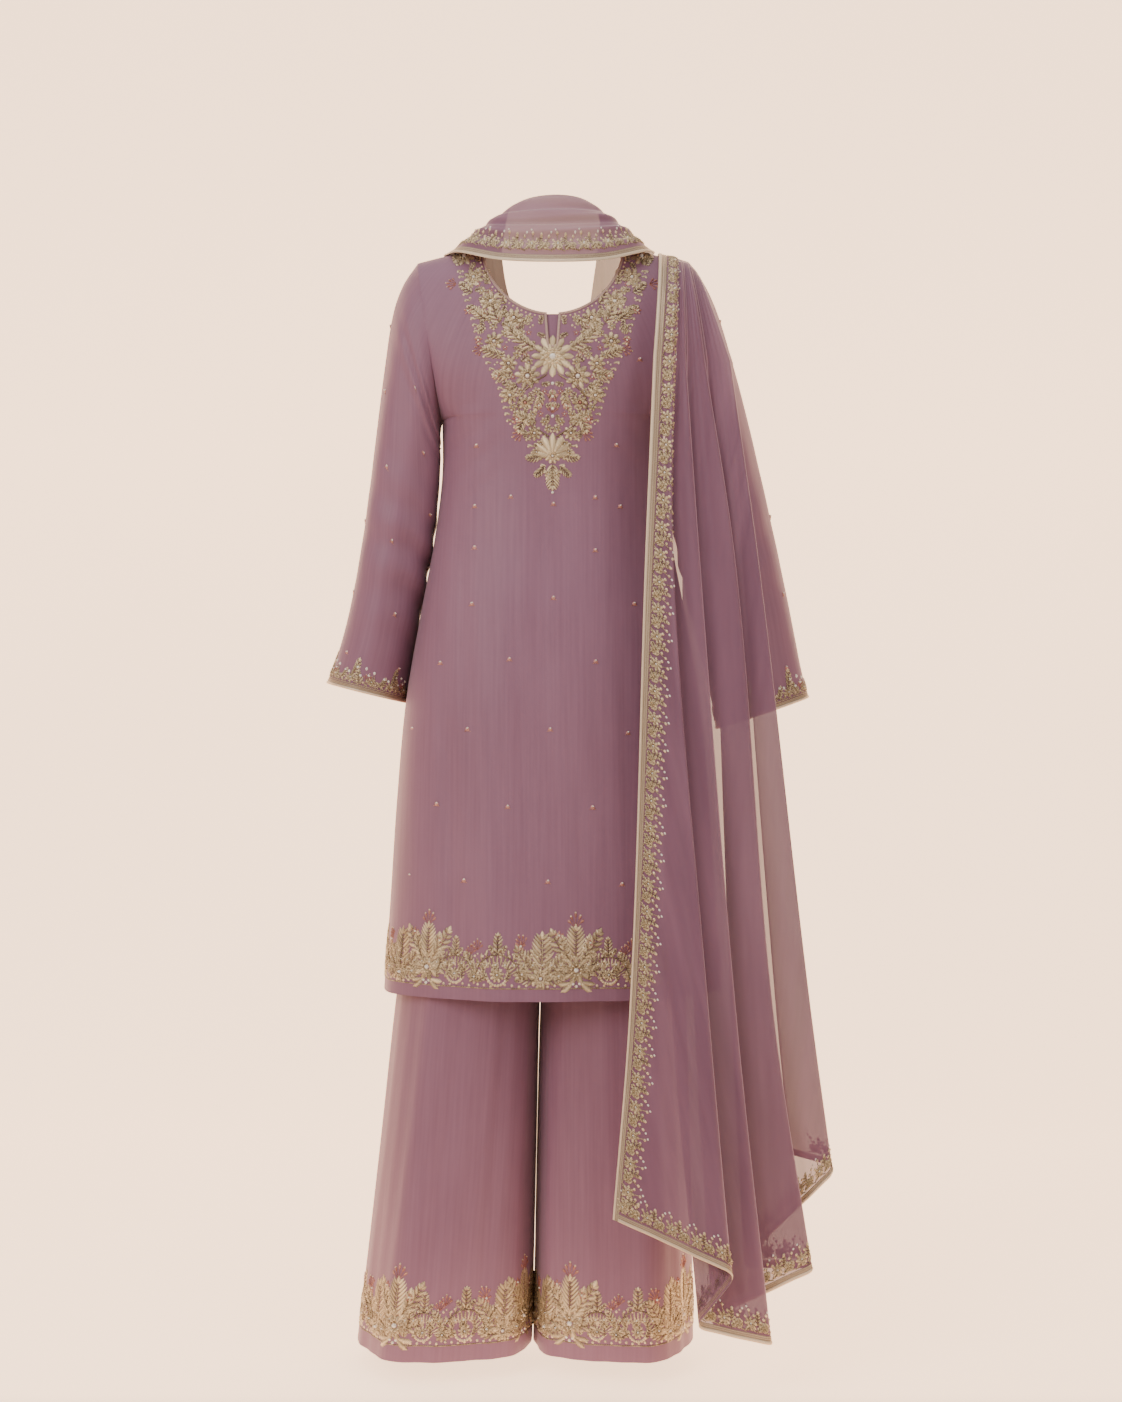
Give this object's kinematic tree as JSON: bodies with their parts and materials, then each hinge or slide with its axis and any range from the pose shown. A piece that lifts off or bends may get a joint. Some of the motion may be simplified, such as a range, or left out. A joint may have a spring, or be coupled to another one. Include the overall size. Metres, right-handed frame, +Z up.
{
  "type": "kurta palazzo set",
  "caption": "Long-sleeved knee-length kurta over wide palazzo trousers, with a sheer bordered dupatta wound once round the neck and hanging from one shoulder, shaped as worn and empty.",
  "frame": {"origin": "midway between the two shoulder seams, at the height of their neck ends, where a wearer or a form holds the set up", "axes": "+Z up, +Y the way the wearer faces, +X the wearer's right; the embroidered back with the neck slit is on the -Y side"},
  "size_m": [0.6731, 0.4002, 1.5367],
  "materials": {
    "lilac_silk": "soft sheen",
    "sheer_lilac": "sheer organza",
    "gold_tape": "metallic thread"
  },
  "bodies": {
    "root": {"kurta_back": "lilac_silk", "kurta_front": "lilac_silk", "sleeve_left": "lilac_silk", "sleeve_right": "lilac_silk", "slit_underlap": "lilac_silk", "neck_piping_back": "gold_tape", "neck_piping_front": "gold_tape", "cuff_tape_left": "gold_tape", "cuff_tape_right": "gold_tape", "palazzo_left_back": "lilac_silk", "palazzo_left_front": "lilac_silk", "palazzo_right_back": "lilac_silk", "palazzo_right_front": "lilac_silk", "palazzo_waistband": "lilac_silk", "dupatta_back": "sheer_lilac", "dupatta_collar": "sheer_lilac", "dupatta_cowl": "sheer_lilac", "dupatta_front_end": "sheer_lilac", "dupatta_tape_side": "gold_tape", "dupatta_tape_hem": "gold_tape", "dupatta_collar_tape": "gold_tape", "dupatta_cowl_tape": "gold_tape"}
  },
  "joints": []
}
